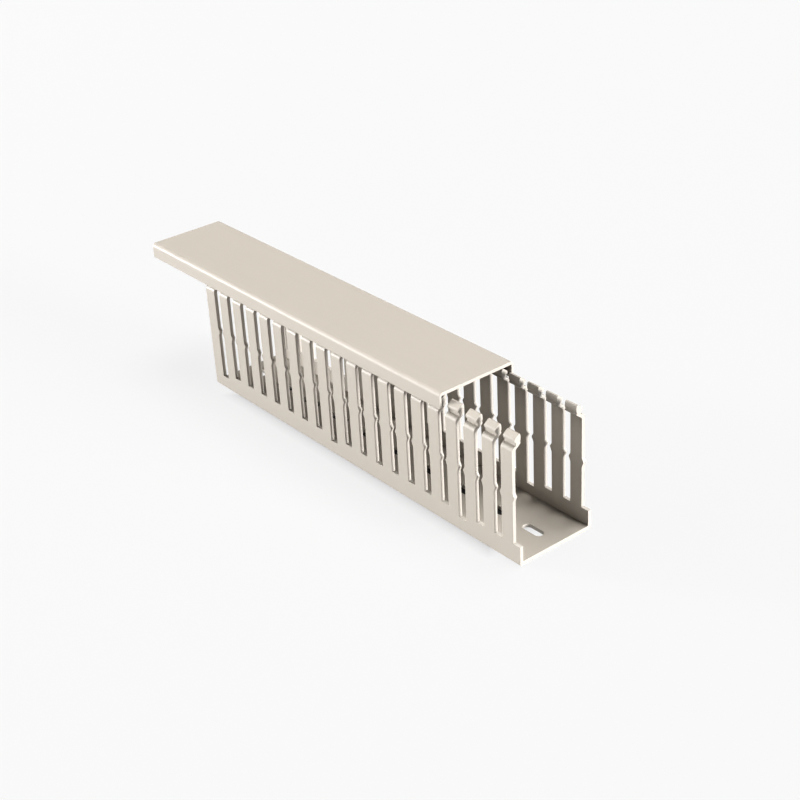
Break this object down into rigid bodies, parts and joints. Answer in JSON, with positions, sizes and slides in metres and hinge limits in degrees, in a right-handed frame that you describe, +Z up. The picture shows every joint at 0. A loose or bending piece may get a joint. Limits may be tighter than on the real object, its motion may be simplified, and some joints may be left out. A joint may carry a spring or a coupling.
{
  "type": "slotted wire duct",
  "caption": "U-shaped panel duct with comb-slotted walls, oblong mounting holes in its floor and a flat cover that clips over the finger heads and slides along them.",
  "frame": {"origin": "middle of the duct's underside, the face that lies on the panel", "axes": "+X along the duct towards the end that the cover leaves open, +Y across it, +Z up out of the mounting face towards the cover"},
  "size_m": [0.3025, 0.0468, 0.07],
  "materials": {
    "duct_pvc": "satin stone-grey rigid PVC, as extruded, with sawn ends and punched slots",
    "cover_pvc": "satin stone-grey rigid PVC, as extruded, with sawn ends"
  },
  "bodies": {
    "duct": {"duct_base": "duct_pvc"},
    "cover": {"duct_cover": "cover_pvc"}
  },
  "joints": [
    {"name": "cover_slide", "type": "slide", "parent": "duct", "child": "cover", "axis": [1, 0, 0], "range_m": [-0.185, 0.0525]}
  ]
}
